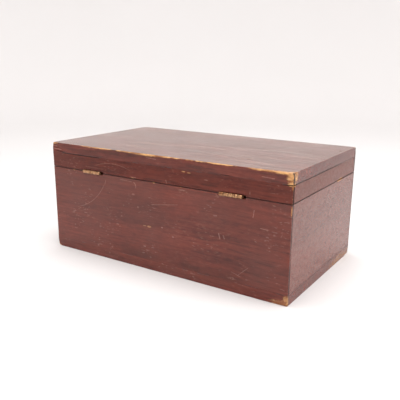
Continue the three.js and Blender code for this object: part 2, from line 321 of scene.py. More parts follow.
# Places where the edges are rubbed round: (middle, half size, added radius), all in mm.
WORN_PLACES = [
    ((0, BACK, TOP), (200, 7, 7), 0.52),  # along the top back edge
    ((10, BACK, TOP), (48, 6, 6), 0.4),
    ((LEFT + 24, BACK, TOP), (26, 7, 7), 0.6),
    ((LEFT + 1, BACK - 1, TOP - 3), (8, 7, 14), 1.9),  # the near top corner
    ((-LEFT - 1, BACK, TOP), (10, 6, 6), 1.0),
    ((LEFT, BACK, 48), (5, 5, 44), 0.26),  # down the near upright edge
    ((LEFT, BACK, 92), (5, 5, 9), 0.6),
    ((LEFT, BACK, 106), (5, 3, 10), 0.45),  # the lid's gaping corner joint
    ((LEFT + 4, BACK, 0), (15, 6, 8), 1.2),  # the near bottom corner
    ((LEFT, -BACK + 3, 0), (8, 12, 9), 1.5),  # the far bottom corner of the left end
    ((LEFT, -37, SEAM / MM), (5, 14, 2.5), 0.95),
    ((-LEFT, BACK, 0), (7, 7, 7), 1.2),
    ((-LEFT, -BACK, 0), (9, 9, 8), 1.8),
    ((-LEFT, -BACK, TOP), (8, 8, 8), 1.6),
    ((LEFT, -BACK, TOP), (7, 7, 7), 1.0),
    ((0, -BACK, TOP), (190, 6, 6), 0.45),
    ((0, -BACK, 97), (40, 4, 4), 0.35),  # where fingers open the lid
]
LEAST_RADIUS = 0.3
MOST_RADIUS = 4.6
SEAM_NICKS = [(31, 1, 0.4), (-31, 1, -0.6), (3, 1, -0.5), (-55, -1, -0.6), (71, -1, 0.5), (117, 1, -0.4)]


def joint_openness(mm, seed):
    """How far the glued joints under the lid's top and over the bottom have opened: 0 is closed."""
    x, y, z = mm.T
    dashes = smoothstep(lattice_noise(mm, 9, seed + 7), 0.68, 0.8)
    lid = z > 60
    opened = 0.1 + 0.6 * dashes
    split = smoothstep(x, 72, 84) * (1 - smoothstep(x, 133, 137))
    opened = np.where((y > BACK - BOARD / MM) & lid, np.maximum(opened, 1.5 * split), opened)
    left_end = np.where(lid, 0.25 + 0.9 * smoothstep(y, -60, -5), 0.3 + 0.5 * dashes)
    return np.where(x < -140, left_end, opened)


def level_gap(mm, heights):
    return np.min([np.abs(mm[:, 2] - height / MM) for height in heights], axis=0)


def worn_radius(points, seed):
    """How round each point's edge is worn, in metres, from the worn places, the joints and noise."""
    mm = points / MM
    radius = np.full(len(points), LEAST_RADIUS)
    for middle, half, added in WORN_PLACES:
        away = np.linalg.norm((mm - middle) / half, axis=1)
        radius += added * (1 - smoothstep(away, 0.25, 1.0))
    for x, side, above in SEAM_NICKS:
        nick = (x, side * BACK, SEAM / MM + above)
        away = np.linalg.norm((mm - nick) / (2.6, 2.5, 1.6), axis=1)
        radius += 0.7 * (1 - smoothstep(away, 0.2, 1.0))
    broad = lattice_noise(mm, 14, seed)
    narrow = lattice_noise(mm, 2.6, seed + 1)
    chips = smoothstep(lattice_noise(mm, 4.2, seed + 2), 0.8, 0.95)
    radius *= 0.5 + 0.6 * broad + 0.55 * narrow
    radius += 0.4 * chips * np.minimum(1, radius)
    share = 1 - smoothstep(level_gap(mm, (LID_JOINT, BOTTOM_JOINT)), 2.5, 5)
    radius *= 1 - share * (1 - joint_openness(mm, seed))
    return np.minimum(radius, MOST_RADIUS) * MM


def eased_radius(points, seed, top=0.0):
    """A lightly sanded edge, with a rounder one along the top where that is given, in metres."""
    mm = points / MM
    radius = 0.3 + 0.3 * lattice_noise(mm, 12, seed)
    highest = mm[:, 2].max()
    radius += top * smoothstep(mm[:, 2], highest - 2.5, highest - 1.2)
    return radius * MM


def round_edges(points, low, high, radius):
    """Moves points on a box onto the same box with its edges rounded by each point's own radius."""
    radius = radius[:, None]
    core = np.clip(points, low + radius, high - radius)
    away = points - core
    length = np.linalg.norm(away, axis=1, keepdims=True)
    return np.where(length > 0, core + away * radius / np.maximum(length, 1e-9), points)


def bare_share(points, low, high, radius):
    """How bare of stain each point is: 1 on a well rubbed edge, 0 away from the edges."""
    rubbed = smoothstep(radius / MM, 0.5, 0.95)
    reach = radius * 1.25 + 0.15 * MM
    return rubbed * (1 - smoothstep(edge_distance(points, low, high), reach * 0.45, reach))


def grime_and_shade_share(points, seed):
    """How much dirt and painted shade darken each point along the joints that show outside."""
    mm = points / MM
    x, y, z = np.abs(mm).T
    depth = np.minimum(HALF_LENGTH / MM - x, HALF_DEPTH / MM - y)
    # Painted shade in the gap between the lid and the case, with some dirt.
    seam = 0.7 * (1 - smoothstep(level_gap(mm, [SEAM]), 0.35, 1.1))
    glued = 1 - smoothstep(level_gap(mm, (LID_JOINT, BOTTOM_JOINT)), 0.25, 0.8)
    glued = glued * np.clip(joint_openness(mm, seed) * 1.3 - 0.1, 0, 1)
    # Painted shade in the open corner joints, where the end boards meet the lips of the front and back boards.
    lip_joint = (HALF_DEPTH - LIP) / MM
    open_by = np.where(z > SEAM / MM, 1.2, 0.85)
    off = np.abs(y - lip_joint + open_by / 2)
    corner = (1 - smoothstep(off, open_by * 0.8, open_by * 0.8 + 0.4)) * (x > HALF_LENGTH / MM - 1.5)
    corner *= np.where(z > SEAM / MM, 1.0, smoothstep(lattice_noise(mm, 16, seed + 9), 0.25, 0.55))
    return np.max([seam, glued, corner], axis=0) * (1 - smoothstep(depth, 0.6, 1.6) * (corner < 0.1))


def point_values(mesh, name, values):
    made = mesh.attributes.new(name, "FLOAT", "POINT")
    made.data.foreach_set("value", values.astype(np.float32))


def make_board(name, node, body, material, seed, radius_of=worn_radius, step=1.5 * MM, below=0.0, above=0.0,
               shrunk=0.0, cutters=(), slot="stained_wood"):
    """A board with rounded edges in the place of a CAD node's box.

    It is a little longer below and above, and shrunk is how far its back end stops short of the joint there.
    """
    low, high = (np.array(v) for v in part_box(node))
    low = low - (0, 0, below)
    high = high + (0, -shrunk, above)
    points, faces = grid_box([grid_lines(a, b, step) for a, b in zip(low, high)])
    points = round_edges(points, low, high, radius_of(points, seed))
    piece = new_object(name, mesh_of(name, points, faces))
    if cutters:
        cut(piece, cutters)
    if slot == "stained_wood":
        final = np.array([v.co for v in piece.data.vertices])
        point_values(piece.data, "bare", bare_share(final, low, high, worn_radius(final, seed)))
        point_values(piece.data, "grime_and_shade", grime_and_shade_share(final, seed))
    return finish_piece(piece, body, slot, material, node)


# ---- materials
class Shader:
    """A material's nodes, with a short call for each kind that the finishes use."""

    def __init__(self, name, metallic=0.0):
        self.material = bpy.data.materials.new(name)
        self.material.use_nodes = True
        self.tree = self.material.node_tree
        self.surface = self.tree.nodes["Principled BSDF"]
        self.surface.inputs["Metallic"].default_value = metallic
        self.place = self.tree.nodes.new("ShaderNodeTexCoord").outputs["Object"]

    def feed(self, socket, value):
        if isinstance(value, bpy.types.NodeSocket):
            self.tree.links.new(value, socket)
        else:
            socket.default_value = value

    def node(self, kind, inputs, **settings):
        made = self.tree.nodes.new(kind)
        for key, value in settings.items():
            setattr(made, key, value)
        for key, value in inputs.items():
            self.feed(made.inputs[key], value)
        return made

    def maths(self, operation, a, b=0.0, clamp=False):
        return self.node("ShaderNodeMath", {0: a, 1: b}, operation=operation, use_clamp=clamp).outputs[0]

    def add(self, a, b):
        return self.maths("ADD", a, b)

    def times(self, a, b):
        return self.maths("MULTIPLY", a, b)

    def less(self, a, b):
        return self.maths("SUBTRACT", a, b)

    def most(self, *masks):
        total = masks[0]
        for mask in masks[1:]:
            total = self.maths("MAXIMUM", total, mask)
        return total

    def vector(self, operation, a, b=(0, 0, 0), output="Vector"):
        return self.node("ShaderNodeVectorMath", {0: a, 1: b}, operation=operation).outputs[output]

    def length(self, a):
        return self.vector("LENGTH", a, output="Value")

    def band(self, value, low, high, start=0.0, end=1.0):
        """start up to low, end from high, and smooth between."""
        inputs = {"Value": value, "From Min": low, "From Max": high, "To Min": start, "To Max": end}
        return self.node("ShaderNodeMapRange", inputs, interpolation_type="SMOOTHSTEP").outputs["Result"]

    def mix(self, share, a, b, blend="MIX"):
        inputs = {0: share, 6: a, 7: b}
        return self.node("ShaderNodeMix", inputs, data_type="RGBA", blend_type=blend).outputs[2]

    def moved(self, scale, seed=0.0, place=None):
        """The object's own coordinates, scaled along each axis and moved to another part of a pattern."""
        inputs = {"Vector": place or self.place, "Scale": scale, "Location": (seed, seed * 0.7, seed * 1.3)}
        return self.node("ShaderNodeMapping", inputs).outputs["Vector"]

    def noise(self, scale, seed=0.0, detail=2.0, roughness=0.5, place=None):
        """Noise whose blobs are 1 / scale metres across; scale is a number or one number for each axis."""
        scales = scale if isinstance(scale, tuple) else (scale, scale, scale)
        inputs = {"Vector": self.moved(scales, seed, place=place), "Scale": 1.0, "Detail": detail}
        inputs["Roughness"] = roughness
        return self.node("ShaderNodeTexNoise", inputs).outputs["Fac"]

    def axis(self, name):
        return self.node("ShaderNodeSeparateXYZ", {0: self.place}).outputs[name]

    def off(self, name, level=0.0):
        """How far the place is from a level on an axis, in metres."""
        return self.maths("ABSOLUTE", self.less(self.axis(name), level))

    def attribute(self, name):
        return self.node("ShaderNodeAttribute", {}, attribute_name=name).outputs["Fac"]

    def near_contour(self, value, half_width):
        """1 where a slow noise crosses its middle: long curved lines."""
        off = self.maths("ABSOLUTE", self.less(value, 0.5))
        return self.band(off, half_width * 0.4, half_width, 1.0, 0.0)

    def scratches(self, scale, reach, width, seed):
        """Short straight scratches at all angles, one in each cell of a scattered pattern."""
        vector = self.moved((1, 1, 1), seed)
        cell = self.node("ShaderNodeTexVoronoi", {"Vector": vector, "Scale": scale})
        away = self.vector("SUBTRACT", vector, cell.outputs["Position"])
        aim = self.vector("NORMALIZE", self.vector("SUBTRACT", cell.outputs["Color"], (0.5, 0.5, 0.5)))
        off = self.maths("ABSOLUTE", self.vector("DOT_PRODUCT", away, aim, "Value"))
        across = self.band(off, width * 0.3 * MM, width * MM, 1.0, 0.0)
        return self.times(across, self.band(self.length(away), reach * 0.5 * MM, reach * MM, 1.0, 0.0))

    def specks(self, scale, share, size, seed):
        """Scattered small dents; share of the cells have one."""
        cell = self.node("ShaderNodeTexVoronoi", {"Vector": self.moved((1, 1, 1), seed), "Scale": scale})
        own = self.node("ShaderNodeSeparateColor", {0: cell.outputs["Color"]})
        radius = self.times(own.outputs["Green"], size)
        spots = self.band(self.less(cell.outputs["Distance"], radius), -0.04, 0.02, 1.0, 0.0)
        return self.times(spots, self.maths("LESS_THAN", own.outputs["Red"], share))

    def spot(self, middle, half, ragged=0.0):
        """1 inside an ellipsoid given in mm, 0 outside, with a soft edge that noise makes ragged."""
        away = self.vector("SUBTRACT", self.place, Vector(middle) * MM)
        distance = self.length(self.vector("DIVIDE", away, Vector(half) * MM))
        if ragged:
            distance = self.add(distance, self.times(self.less(self.noise(420, 3, 4, 0.6), 0.5), ragged))
        return self.band(distance, 0.45, 1.0, 1.0, 0.0)

    def line(self, start, end, width):
        """1 along a straight scratch between two points in mm."""
        start, end = Vector(start) * MM, Vector(end) * MM
        along = end - start
        away = self.vector("SUBTRACT", self.place, start)
        share = self.vector("DOT_PRODUCT", away, along, "Value")
        share = self.maths("DIVIDE", share, along.length_squared, clamp=True)
        nearest = self.node("ShaderNodeVectorMath", {0: along, "Scale": share}, operation="SCALE").outputs[0]
        rest = self.length(self.vector("SUBTRACT", away, nearest))
        return self.band(rest, width * 0.4 * MM, width * MM, 1.0, 0.0)

    def arc(self, centre, radius, width):
        """1 along a circle's line around a point in mm."""
        away = self.length(self.vector("SUBTRACT", self.place, Vector(centre) * MM))
        rest = self.maths("ABSOLUTE", self.less(away, radius * MM))
        return self.band(rest, width * 0.4 * MM, width * MM, 1.0, 0.0)

    def set(self, colour, roughness, relief, depth, strength=0.6):
        """Feeds the surface, with the relief as a bump of that depth in mm, and returns the material."""
        inputs = {"Height": relief, "Distance": depth * MM, "Strength": strength}
        self.feed(self.surface.inputs["Base Color"], colour)
        self.feed(self.surface.inputs["Roughness"], roughness)
        self.feed(self.surface.inputs["Normal"], self.node("ShaderNodeBump", inputs).outputs["Normal"])
        return self.material


STAIN_DARK = (0.070, 0.010, 0.006, 1)
STAIN_LIGHT = (0.215, 0.040, 0.023, 1)
STAIN_HAZE = (0.150, 0.050, 0.037, 1)
SCRATCH_PALE = (0.38, 0.17, 0.12, 1)
BARE_PALE = (0.70, 0.38, 0.15, 1)
BARE_DEEP = (0.26, 0.085, 0.022, 1)
INSIDE_PALE = (0.50, 0.30, 0.15, 1)
INSIDE_DEEP = (0.34, 0.18, 0.08, 1)
# Near black for pores, dirt and dark stains, and for painted shade in the seam and the open joints.
GRIME_AND_SHADE = (0.016, 0.006, 0.004, 1)
# Pale dust and bloom; on the upper face also a painted reflection of the pale room.
DUST_AND_REFLECTION = (0.48, 0.40, 0.33, 1)
PORE_BROWN = (0.12, 0.05, 0.02, 1)
HANDLED_BROWN = (0.22, 0.11, 0.05, 1)
BRASS_BROWN = (0.29, 0.13, 0.06, 1)
BRASS_BRIGHT = (0.56, 0.325, 0.175, 1)
BRASS_TARNISH = (0.10, 0.04, 0.018, 1)
# Near black for dirt and painted shade in the brass's gaps and slots.
BRASS_DIRT_AND_SHADE = (0.02, 0.008, 0.004, 1)
STEEL_BLACK = (0.05, 0.045, 0.042, 1)
RUST = (0.12, 0.045, 0.02, 1)
FELT_DEEP = (0.018, 0.035, 0.02, 1)
FELT_LIGHT = (0.06, 0.1, 0.055, 1)
FELT_FIBRE = (0.16, 0.2, 0.13, 1)
LEATHER_DARK = (0.07, 0.028, 0.012, 1)
LEATHER_TAN = (0.2, 0.085, 0.035, 1)
THREAD_DARK = (0.34, 0.24, 0.13, 1)
THREAD_PALE = (0.62, 0.5, 0.32, 1)
PAPER = (0.80, 0.783, 0.778, 1)
PAPER_LIGHT = (0.82, 0.803, 0.798, 1)
# The paper in the ring of painted shade.
PAPER_SHADED = (0.76, 0.744, 0.74, 1)
LACQUER_IOR = 1.45
SKIN = 0.3 * MM  # how near a face a point counts as being on it
# How the wood's figure shows on boards whose grain runs along X, and more faintly on the short ones along Y:
# the share of its fibres, the waves' scale, and what the relief is made of.
FIGURES = {
    "X": {"fine": 0.46, "waves": (16, 90, 90), "fibrous": 0.16, "rolling": 1.1, "depth": 0.14},
    "Y": {"fine": 0.22, "waves": (90, 170, 48), "fibrous": 0.34, "rolling": 0.45, "depth": 0.12},
}


def along_grain(axis, slow, fast):
    """Scales that are slow along the grain and fast across it."""
    return tuple(slow if each == axis else fast for each in "XYZ")


def grain(s, axis, seed):
    """Three sizes of figure in the wood, each from 0 to 1: broad streaks, fibres and pores."""
    bend = s.times(s.less(s.noise(6, seed + 5, 1), 0.5), 0.012)
    place = s.vector("ADD", s.place, s.node("ShaderNodeCombineXYZ", {0: bend, 1: bend, 2: bend}).outputs[0])
    streaks = s.noise(along_grain(axis, 3, 56), seed, 3, 0.55, place)
    fibres = s.noise(along_grain(axis, 16, 400), seed + 1, 4, 0.76, place)
    pores = s.noise(along_grain(axis, 36, 700), seed + 2, 2, 0.6, place)
    return s.band(streaks, 0.32, 0.68), s.band(fibres, 0.36, 0.64), s.band(pores, 0.56, 0.7)


def inside_share(s):
    """1 on the unstained faces inside the closed case, and less on the rims that the seam hides."""
    z = s.axis("Z")
    below_top = s.maths("LESS_THAN", z, LID_JOINT + SKIN)
    level = s.times(s.maths("GREATER_THAN", z, BOTTOM_JOINT - SKIN), below_top)

    def within(inset):
        in_x = s.maths("LESS_THAN", s.off("X"), HALF_LENGTH - inset)
        return s.times(in_x, s.maths("LESS_THAN", s.off("Y"), HALF_DEPTH - inset))

    rim = s.maths("LESS_THAN", s.off("Z", SEAM), 0.36 * MM)
    return s.most(s.times(within(BOARD - SKIN), level), s.times(s.times(rim, within(1.2 * MM)), 0.55))


def end_grain_share(s, axis):
    """1 on the sawn ends of a board whose grain runs along an axis."""
    reach = HALF_LENGTH if axis == "X" else HALF_DEPTH
    return s.maths("GREATER_THAN", s.off(axis), reach - SKIN)


def small_wear(s, axis, seed):
    """Short pale scratches, dents and rubbed fibres all over a board."""
    patchy = s.band(s.noise(24, seed + 8, 2), 0.44, 0.64)
    pale = s.most(s.times(s.scratches(64, 4.5, 0.32, seed + 9), patchy), s.scratches(30, 7, 0.28, seed + 13))
    pale = s.times(pale, s.band(s.noise(200, seed + 6, 2), 0.38, 0.66, 0.0, 0.4))
    small_dents = s.times(s.specks(210, 0.12, 0.13, seed), 0.32)
    dents = s.most(s.times(s.specks(85, 0.18, 0.09, seed + 60), 0.4), small_dents)
    rubbed = s.times(s.band(s.noise(along_grain(axis, 210, 720), seed + 15, 2), 0.57, 0.71), 0.25)
    places = s.band(s.noise(34, seed + 16, 2), 0.42, 0.62, 0.12, 1.0)
    return s.most(pale, s.times(s.most(dents, rubbed), places))


def paled_by_dust_and_reflection(s, colour, axis, seed, dust):
    """The colour under dust and painted reflection on the upper face, and under a faint bloom on the short
    boards.
    """
    # On the upper face the dust also stands in for the pale room's reflection: painted reflection.
    if dust:
        streaks = s.noise(along_grain(axis, 22, 200), seed + 19, 3, 0.6)
        streaks = s.band(streaks, 0.34, 0.66, dust * 0.4, dust * 1.6)
        upward = s.maths("GREATER_THAN", s.axis("Z"), HEIGHT - SKIN)
        colour = s.mix(s.times(streaks, upward), colour, DUST_AND_REFLECTION)
    if axis == "Y":
        bloom = s.band(s.noise(430, seed + 20, 4, 0.72), 0.38, 0.64, 0.0, 0.13)
        colour = s.mix(bloom, colour, DUST_AND_REFLECTION)
    return colour


def bare_edges(s, seed):
    """1 where the board's rubbed edges are through to bare wood, with a ragged border."""
    edge = s.attribute("bare")
    ragged = s.times(s.less(s.noise(700, seed, 3, 0.65), 0.5), 1.5)
    return s.times(s.band(s.add(edge, ragged), 0.42, 0.62), s.band(edge, 0.02, 0.1))


def stained_wood(name, axis, seed, pale_marks=None, bare_marks=None, dark_marks=None, tone=1.0, wear=1.0,
                 gloss=0.5, dust=0.0):
    """Old reddish-brown stain under worn lacquer, rubbed through to bare wood at the edges.

    The shares wear, gloss and dust say how scratched, how shiny and how paled on top the board is.
    """
    s = Shader(name)
    s.surface.inputs["IOR"].default_value = LACQUER_IOR
    s.surface.inputs["Specular IOR Level"].default_value = gloss
    look = FIGURES[axis]
    streaks, fibres, pores = grain(s, axis, seed)
    mottled = s.band(s.noise(along_grain(axis, 130, 260), seed + 12, 3, 0.65), 0.3, 0.7)
    waves = s.noise(look["waves"], seed + 14, 3, 0.6)
    figure = s.add(s.times(fibres, look["fine"]), s.times(mottled, 0.26))
    figure = s.add(s.times(streaks, 0.74 - look["fine"]), figure)
    if axis == "Y":
        figure = s.add(0.28, s.times(figure, 0.45))
    haze = s.times(s.band(s.noise(15, seed + 3, 2), 0.35, 0.75), 0.4)
    colour = s.mix(haze, s.mix(figure, STAIN_DARK, STAIN_LIGHT), STAIN_HAZE)
    colour = s.mix(s.times(s.band(waves, 0.42, 0.68), 0.1 * (2 - wear)), colour, STAIN_DARK)
    colour = s.mix(s.times(pores, 0.36 * wear), colour, GRIME_AND_SHADE)
    sawn = s.times(end_grain_share(s, axis), s.band(s.noise(700, seed + 18, 3), 0.3, 0.6, 0.0, 0.3))
    colour = s.mix(sawn, colour, STAIN_DARK)
    colour = s.mix(1.0, colour, (tone, tone, tone, 1), "MULTIPLY")
    colour = paled_by_dust_and_reflection(s, colour, axis, seed, dust)
    if dark_marks:
        colour = s.mix(s.times(dark_marks(s), 0.68), colour, GRIME_AND_SHADE)
    pale = s.times(small_wear(s, axis, seed), wear)
    if pale_marks:
        worn = s.band(s.noise(900, seed + 17, 2), 0.3, 0.6, 0.25, 0.7)
        pale = s.most(pale, s.times(pale_marks(s), worn))
    colour = s.mix(pale, colour, SCRATCH_PALE)
    bare = bare_edges(s, seed)
    if bare_marks:
        bare = s.most(bare, bare_marks(s))
    rings = s.band(s.noise(along_grain(axis, 90, 480), seed + 4, 3, 0.6), 0.36, 0.66)
    colour = s.mix(bare, colour, s.mix(rings, BARE_DEEP, BARE_PALE))
    # Dirt and painted shade along the seam and the open joints.
    dirt_and_shade = s.times(s.attribute("grime_and_shade"), s.band(s.noise(260, seed + 7, 3), 0.25, 0.5, 0.6, 1.0))
    colour = s.mix(s.times(dirt_and_shade, 0.9), colour, GRIME_AND_SHADE)
    inside = inside_share(s)
    colour = s.mix(inside, colour, s.mix(figure, INSIDE_DEEP, INSIDE_PALE))
    rough = s.add(s.add(0.2, s.times(haze, 0.12)), s.times(s.most(pale, s.times(bare, 0.6), dirt_and_shade), 0.3))
    relief = s.add(s.times(pores, 0.25), s.times(pale, 0.35))
    relief = s.less(s.times(fibres, look["fibrous"]), relief)
    relief = s.add(relief, s.add(s.times(waves, look["rolling"]), s.times(streaks, 0.4)))
    return s.set(colour, s.most(rough, s.times(inside, 0.62)), relief, look["depth"], 0.8)


def plain_wood(name, axis, seed):
    """Bare, lightly sanded wood of the pen tray."""
    s = Shader(name)
    streaks, fibres, pores = grain(s, axis, seed)
    figure = s.add(s.times(streaks, 0.6), s.times(fibres, 0.4))
    colour = s.mix(figure, INSIDE_DEEP, INSIDE_PALE)
    colour = s.mix(s.times(pores, 0.45), colour, PORE_BROWN)
    handled = s.band(s.noise(22, seed + 3, 3), 0.5, 0.75)
    colour = s.mix(s.times(handled, 0.25), colour, HANDLED_BROWN)
    relief = s.less(s.times(fibres, 0.4), s.times(pores, 0.5))
    return s.set(colour, s.band(handled, 0.0, 1.0, 0.62, 0.48), relief, 0.05)


def aged_brass(name, seed, tarnished=0.5):
    """Dull brass: bright where it rubs, brown in patches, with fine draw lines."""
    s = Shader(name, metallic=1.0)
    patches = s.noise(220, seed, 4, 0.6)
    colour = s.mix(s.band(patches, 0.35, 0.62), BRASS_BROWN, BRASS_BRIGHT)
    tarnish = s.band(s.noise(520, seed + 2, 3, 0.65), 0.68 - tarnished * 0.3, 0.84 - tarnished * 0.3)
    colour = s.mix(s.times(tarnish, 0.8), colour, BRASS_TARNISH)
    # Dirt and painted shade in the gaps between the knuckles and in the screws' slots.
    dirt_and_shade = s.attribute("grime_and_shade")
    colour = s.mix(s.times(dirt_and_shade, 0.85), colour, BRASS_DIRT_AND_SHADE)
    lines = s.noise((300, 5000, 5000), seed + 3, 2)
    relief = s.add(s.times(lines, 0.4), s.times(patches, 0.6))
    return s.set(colour, s.band(s.most(tarnish, dirt_and_shade), 0.0, 1.0, 0.36, 0.62), relief, 0.03)


def dark_steel(name):
    """Blackened nail heads with a little rust."""
    s = Shader(name, metallic=0.8)
    rust = s.band(s.noise(900, 3, 4, 0.65), 0.48, 0.66)
    colour = s.mix(rust, STEEL_BLACK, RUST)
    return s.set(colour, s.band(rust, 0.0, 1.0, 0.42, 0.75), rust, 0.05)


def green_felt(name):
    """Matted wool felt with stray fibres."""
    s = Shader(name)
    s.surface.inputs["Sheen Weight"].default_value = 0.4
    s.surface.inputs["Sheen Roughness"].default_value = 0.5
    matted = s.noise(1500, 1, 5, 0.7)
    clumps = s.noise(180, 4, 3)
    fibres = s.near_contour(s.noise((420, 300, 360), 7, 1), 0.02)
    shade_share = s.add(s.times(matted, 0.6), s.times(clumps, 0.4))
    colour = s.mix(s.band(shade_share, 0.3, 0.7), FELT_DEEP, FELT_LIGHT)
    colour = s.mix(s.times(fibres, 0.25), colour, FELT_FIBRE)
    return s.set(colour, s.band(clumps, 0.0, 1.0, 0.88, 1.0), s.add(matted, s.times(fibres, 0.5)), 0.15, 0.8)


def brown_leather(name):
    """Vegetable-tanned leather with a pebbled grain and deep creases."""
    s = Shader(name)
    pebbles = s.node("ShaderNodeTexVoronoi", {"Vector": s.place, "Scale": 1500}).outputs["Distance"]
    creases = s.noise(350, 2, 4, 0.6)
    colour = s.mix(s.band(creases, 0.35, 0.65), LEATHER_DARK, LEATHER_TAN)
    relief = s.add(s.times(pebbles, 0.8), s.times(creases, 0.5))
    return s.set(colour, s.band(creases, 0.3, 0.7, 0.6, 0.45), relief, 0.1)


def waxed_thread(name):
    """Twisted linen thread, pale where the wax has gone."""
    s = Shader(name)
    twist = s.noise((2600, 900, 2600), 5, 2)
    colour = s.mix(s.band(twist, 0.3, 0.7), THREAD_DARK, THREAD_PALE)
    return s.set(colour, s.band(twist, 0.0, 1.0, 0.6, 0.8), twist, 0.1)


# ---- the marks of use that can be told apart on the outside, at points in mm
def marks(s, lines=(), spots=()):
    """Scratches given as (start, end, width, share) and spots given as (middle, half size, ragged, share)."""
    masks = [s.times(s.line(start, end, width), share) for start, end, width, share in lines]
    masks += [s.times(s.spot(middle, half, ragged), share) for middle, half, ragged, share in spots]
    return s.most(*masks)


def back_marks(s, lines=(), spots=()):
    """The same on the back face: rows start with x and z of both ends, or of the middle and the half size."""
    lines = [((x, BACK, z), (end_x, BACK, end_z), *rest) for x, z, end_x, end_z, *rest in lines]
    spots = [((x, BACK, z), (half_x, 2, half_z), *rest) for x, z, half_x, half_z, *rest in spots]
    return marks(s, lines, spots)


def back_scratches(s):
    """Pale scratches on the back board."""
    curve = s.times(s.arc((127, BACK, 116), 63, 0.5), s.spot((92, BACK, 71), (38, 5, 28), 0.3))
    hook = s.times(s.arc((31.5, BACK, 89.5), 4.5, 0.6), s.spot((27.5, BACK, 91.5), (4, 3, 5), 0.3))
    lines = [
        (48.5, 94.5, 32.5, 94, 0.5, 0.5),
        (6.5, 73, -26.5, 78, 0.45, 0.5),
        (-97.5, 19, -108.5, 29, 0.5, 0.42),
        (-100.5, 18, -90.5, 21, 0.4, 0.5),
        (-113, 86.5, -112, 79.5, 0.6, 0.7),
        (-120, 70.5, -127.5, 70, 0.5, 0.7),
        (-77, 52, -75.5, 57, 0.7, 0.7),
        (-82, 53, -80.5, 56, 0.7, 0.5),
        (70.5, 86.5, 69.5, 90.5, 0.6, 0.5),
    ]
    spots = [
        (-32.5, 94, 6, 0.9, 0.6, 0.8),
        (-7, 50.5, 1.6, 0.9, 0.4, 0.8),
        (-21, 43, 1.8, 1.2, 0.4, 0.6),
        (54, 43.5, 2.4, 1.3, 0.5, 0.5),
        (24.5, 67.5, 1.7, 1.4, 0.5, 0.5),
        (30.5, 80.5, 3, 1.3, 0.6, 0.45),
        (-71, 74.5, 3.4, 1.2, 0.6, 0.45),
        (35.5, 7, 1.2, 0.8, 0.4, 0.8),
    ]
    return s.most(s.times(curve, 0.5), hook, back_marks(s, lines, spots))


def back_bare_marks(s):
    """Nicks on the back board that go through to bare wood."""
    return back_marks(s, spots=[(10, 48.5, 3.4, 1.3, 0.5, 0.75), (16, 48.5, 3, 0.6, 0.5, 0.75)])


def back_dark_marks(s):
    """A dark stain along the foot of the back board, dull ones higher up and a darker near end."""
    low_band = s.band(s.off("Z", 15 * MM), 2 * MM, 11 * MM, 0.65, 0.0)
    low_band = s.times(low_band, s.band(s.off("X", -20 * MM), 60 * MM, 100 * MM, 1.0, 0.2))
    cloud = s.band(s.noise((16, 16, 50), 4, 3), 0.36, 0.62, 0.2, 1.0)
    dull = [
        ((23.5, BACK, 64.5), (62, 9, 26), 0.7, 0.3),
        ((-71, BACK, 80.5), (34, 9, 16), 0.6, 0.3),
        ((-110, BACK, 50), (85, 9, 80), 0.4, 0.17),
    ]
    return s.most(s.times(low_band, cloud), marks(s, spots=dull))


def lid_rail_scratches(s):
    """Pale scratches on the lid's back rail."""
    upper = s.times(s.arc((59, BACK, 39), 71, 0.45), s.spot((60.5, BACK, 108), (40, 5, 6), 0.3))
    lines = [(98.5, 103, 72.5, 102.5, 0.45, 0.35), (-12.5, 101.5, -13.5, 98.5, 0.7, 0.7)]
    spots = [
        (30.5, 99, 5, 0.8, 0.5, 0.9),
        (-60.5, 108, 3, 0.7, 0.5, 0.6),
        (-108, 102, 0.8, 2.4, 0.5, 0.5),
        (-131, 105, 5, 0.5, 0.5, 0.4),
    ]
    return s.most(s.times(upper, 0.6), back_marks(s, lines, spots))


def lid_rail_bare_marks(s):
    """Nicks on the lid's back rail."""
    return back_marks(s, spots=[(-34, 113, 3, 0.7, 0.4, 0.8), (-40.5, 112.5, 3, 0.6, 0.4, 0.8)])


def top_pale_marks(s):
    """Split fibres at the lid's far upper corner, and short scratches over its top."""
    split = [
        (147.5, 118.5, 136.5, 118, 0.6, 1.0),
        (147.5, 121.5, 142.5, 121.5, 0.5, 1.0),
        (-119.5, 119, -132, 118.5, 0.5, 0.6),
        (12, 122, 0, 121.5, 0.6, 0.6),
    ]
    over = [((-24, 39.5, TOP), (-63.5, 51, TOP), 0.7, 0.6), ((55, 20, TOP), (90.5, 42, TOP), 0.6, 0.5)]
    return s.most(back_marks(s, split), marks(s, over))


def top_bare_marks(s):
    """The rubbed near corner of the lid's top board and its pale back edge."""
    return marks(s, spots=[
        ((LEFT, BACK, TOP - 3), (8, 12, 10), 0.9, 1.0),
        ((LEFT + 6, BACK, TOP), (26, 5, 3), 0.9, 1.0),
        ((12, BACK, TOP - 0.5), (24, 1.6, 2), 1.0, 0.7),
    ])


def top_dark_marks(s):
    """Dark streaks in the grain of the lid, and a darker band along its middle."""
    band = s.band(s.off("Y", -26 * MM), 6 * MM, 32 * MM, 0.25, 0.0)
    streaks = s.times(s.band(s.noise((20, 170, 170), 23, 3, 0.6), 0.46, 0.66), 0.62)
    return s.most(band, streaks, marks(s, spots=[
        ((-67, -15, TOP), (7, 2.4, 3), 0.5, 1.0),
        ((-116, 39, TOP), (24, 1.4, 3), 0.6, 0.8),
        ((-15, -11, TOP), (12, 2, 3), 0.6, 0.6),
        ((35, 12.5, TOP), (22, 2, 3), 0.6, 0.4),
    ]))


def end_dark_marks(s):
    """Small dark dents near the far top of the left end."""
    return marks(s, spots=[
        ((LEFT, -54, 70), (2, 2.4, 4), 0.4, 1.0),
        ((LEFT, -57.5, 78.5), (2, 1.6, 1.6), 0.4, 1.0),
        ((LEFT, -20.5, 80.5), (2, 7, 1.6), 0.6, 0.5),
        ((LEFT, 8, 59), (2, 9, 2), 0.6, 0.3),
    ])


